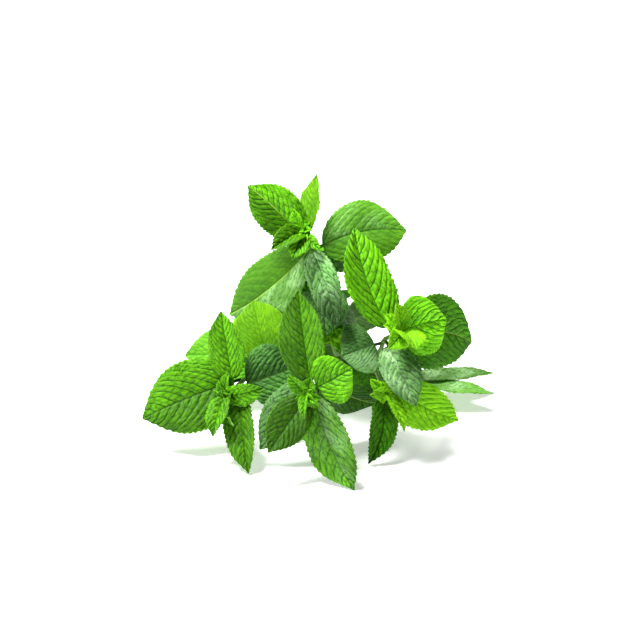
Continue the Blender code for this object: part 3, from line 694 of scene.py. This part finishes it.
# A square tube along the stem: the section's radius is widest at four rounded edges, and each ring swells
# where leaves grow. Both ends close in a few quick rings.
def stemShell(stem):
    path = smoothPath(stems[stem]["through"])
    length = np.linalg.norm(np.diff(path, axis=0), axis=1).sum()
    shares = np.linspace(0, 1, round(length / stemForm["ringSpacing"]))
    reach = np.concatenate([[0], np.cumsum(np.linalg.norm(np.diff(path, axis=0), axis=1))]) / length
    centre = np.stack([np.interp(shares, reach, path[:, k]) for k in range(3)], axis=-1)
    ahead = np.gradient(centre, axis=0)
    ahead /= np.linalg.norm(ahead, axis=1, keepdims=True)
    sideways = np.zeros_like(ahead)
    now = np.array([0.0, 0.0, 1.0])
    for k, direction in enumerate(ahead):
        now = unit(now - (now @ direction) * direction)
        sideways[k] = now
    other = np.cross(ahead, sideways)
    turn = np.linspace(0, 2 * np.pi, stemForm["sides"], endpoint=False)
    radius = stemRadius(stem, shares)
    joints = np.array(sorted({item["share"] for item in leaves[stem]}))
    near = np.abs(shares[:, None] - joints).min(axis=1) * length / stemForm["swellLength"]
    radius = radius * (1 + stemForm["swell"] * np.exp(-near**2))
    section = stemForm["section"] - stemForm["square"] * np.cos(4 * turn)
    section = section - stemForm["crisp"] * np.cos(8 * turn)
    ring = radius[:, None] * section
    points = (centre[:, None] + ring[..., None] * (np.cos(turn)[:, None] * sideways[:, None]
              + np.sin(turn)[:, None] * other[:, None]))
    close = np.array(stemForm["endRings"])[:, None, None]
    first = centre[0] + (points[0] - centre[0]) * close
    bulge = ahead[-1] * stemForm["endBulge"] * (1 - close[::-1])
    last = centre[-1] + (points[-1] - centre[-1]) * close[::-1] + bulge
    points = np.concatenate([first, points, last])
    points[..., 2] = np.maximum(points[..., 2], 0.0)
    n, m = points.shape[:2]
    grid = np.arange(n * m).reshape(n, m)
    nextOne = np.roll(grid, -1, axis=1)
    quads = np.stack([grid[:-1], nextOne[:-1], nextOne[1:], grid[1:]], axis=-1).reshape(-1, 4)
    flat = np.abs(np.cos(2 * turn))[None] * np.ones((n, 1))
    joint = np.concatenate([np.zeros(3), np.exp(-near**2), np.zeros(3)])[:, None] * np.ones(m)
    return points.reshape(-1, 3), quads, dict(stemFlat=flat.ravel(), stemJoint=joint.ravel())


# Green mint stem, a satin skin over fibres: bright along its four edges, dull on the flats between them
stemShades = dict(edge="#79a832", flat="#48781c", joint="#3c5a1a", streak="#5b7d24")


# One material: from edge to flat, then darker at the joints where leaves grow, then streaked
def stemSkin():
    skin = bpy.data.materials.new("greenMintStem")
    skin.use_nodes = True
    tree = skin.node_tree
    shader = tree.nodes["Principled BSDF"]
    flatness = addNode(tree, "ShaderNodeAttribute", {}, "Fac", attribute_name="stemFlat")
    joint = addNode(tree, "ShaderNodeAttribute", {}, "Fac", attribute_name="stemJoint")
    place = addNode(tree, "ShaderNodeTexCoord", {}, "Object")
    streaks = addNode(tree, "ShaderNodeTexNoise", {"Vector": place, "Scale": 700.0, "Detail": 4.0}, "Fac")
    blend = dict(output=2, data_type="RGBA")
    edge, flat, knot, streak = (colour(stemShades[key]) for key in ("edge", "flat", "joint", "streak"))
    body = addNode(tree, "ShaderNodeMix", {0: flatness, 6: edge, 7: flat}, **blend)
    worn = addNode(tree, "ShaderNodeMapRange", {0: joint, 1: 0.0, 2: 1.0, 3: 0.0, 4: 0.5})
    knotted = addNode(tree, "ShaderNodeMix", {0: worn, 6: body, 7: knot}, **blend)
    speck = addNode(tree, "ShaderNodeMapRange", {0: streaks, 1: 0.35, 2: 0.75, 3: 0.0, 4: 0.5})
    mixed = addNode(tree, "ShaderNodeMix", {0: speck, 6: knotted, 7: streak}, **blend)
    bump = addNode(tree, "ShaderNodeBump", {"Height": streaks, "Strength": 0.4, "Distance": 0.2 * mm},
                   "Normal")
    tree.links.new(mixed, shader.inputs["Base Color"])
    tree.links.new(bump, shader.inputs["Normal"])
    shader.inputs["Roughness"].default_value = 0.45
    shader.inputs["IOR"].default_value = 1.45
    return skin


piece = meshObject("mint_stem", [stemShell(stem) for stem in stems], stemSkin())
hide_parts("stem")
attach(piece, "root")
print("stem made")

# a bright floor and sky, a large soft light from above and a weaker one from the left
stage = dict(
    target=(-2.5, -16.0, 65.3), distance=750, elevation=25, lens=84.4,
    floor="#ffffff", floorGlow=0.30, floorReach=6.0, world=0.34,
    key=dict(place=(-800, 0, 2100), size=800, power=125),
    side=dict(place=(-2000, -300, 700), size=700, power=16),
)


# a round area light at that place, turned to face the target
def softLight(name, place, size, power):
    lamp = bpy.data.lights.new(name, "AREA")
    lamp.shape = "DISK"
    lamp.size = size * mm
    lamp.energy = power
    holder = bpy.data.objects.new(name, lamp)
    holder.location = Vector(place) * mm
    aim = Vector(stage["target"]) * mm - holder.location
    holder.rotation_euler = aim.to_track_quat("-Z", "Y").to_euler()
    bpy.context.scene.collection.objects.link(holder)


# the floor, the sky, both lights, and the camera set back from the target along its line of sight
def makeStage():
    scene = bpy.context.scene
    scene.view_settings.view_transform = "Standard"
    mesh = bpy.data.meshes.new("paleFloor")
    reach = stage["floorReach"]
    corners = [(-reach, -reach, 0), (reach, -reach, 0), (reach, reach, 0), (-reach, reach, 0)]
    mesh.from_pydata(corners, [], [(0, 1, 2, 3)])
    floor = bpy.data.objects.new("paleFloor", mesh)
    scene.collection.objects.link(floor)
    # matt white table top, glowing a little so that only soft shadows are seen on it
    paint = bpy.data.materials.new("mattWhiteFloor")
    paint.use_nodes = True
    shader = paint.node_tree.nodes["Principled BSDF"]
    shader.inputs["Base Color"].default_value = colour(stage["floor"])
    shader.inputs["Roughness"].default_value = 0.9
    shader.inputs["Emission Color"].default_value = colour(stage["floor"])
    shader.inputs["Emission Strength"].default_value = stage["floorGlow"]
    mesh.materials.append(paint)
    world = bpy.data.worlds.new("softSky")
    world.use_nodes = True
    world.node_tree.nodes["Background"].inputs["Color"].default_value = (1, 1, 1, 1)
    world.node_tree.nodes["Background"].inputs["Strength"].default_value = stage["world"]
    scene.world = world
    softLight("keyLight", **stage["key"])
    softLight("sideLight", **stage["side"])
    eye = bpy.data.cameras.new("camera")
    eye.lens = stage["lens"]
    eye.sensor_width = 36
    holder = bpy.data.objects.new("camera", eye)
    rise = math.radians(stage["elevation"])
    back = np.array([0, -math.cos(rise), math.sin(rise)]) * stage["distance"]
    holder.location = (np.array(stage["target"]) + back) * mm
    holder.rotation_euler = (math.pi / 2 - rise, 0, 0)
    scene.collection.objects.link(holder)
    scene.camera = holder


makeStage()
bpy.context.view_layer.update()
pieces = [o for o in bpy.data.objects if o.type == "MESH" and o.name.startswith("mint_")]
triangles = [len(piece.data.polygons) * 2 for piece in pieces]
print("triangles:", sum(triangles), "in all,", max(triangles), "in the largest piece")
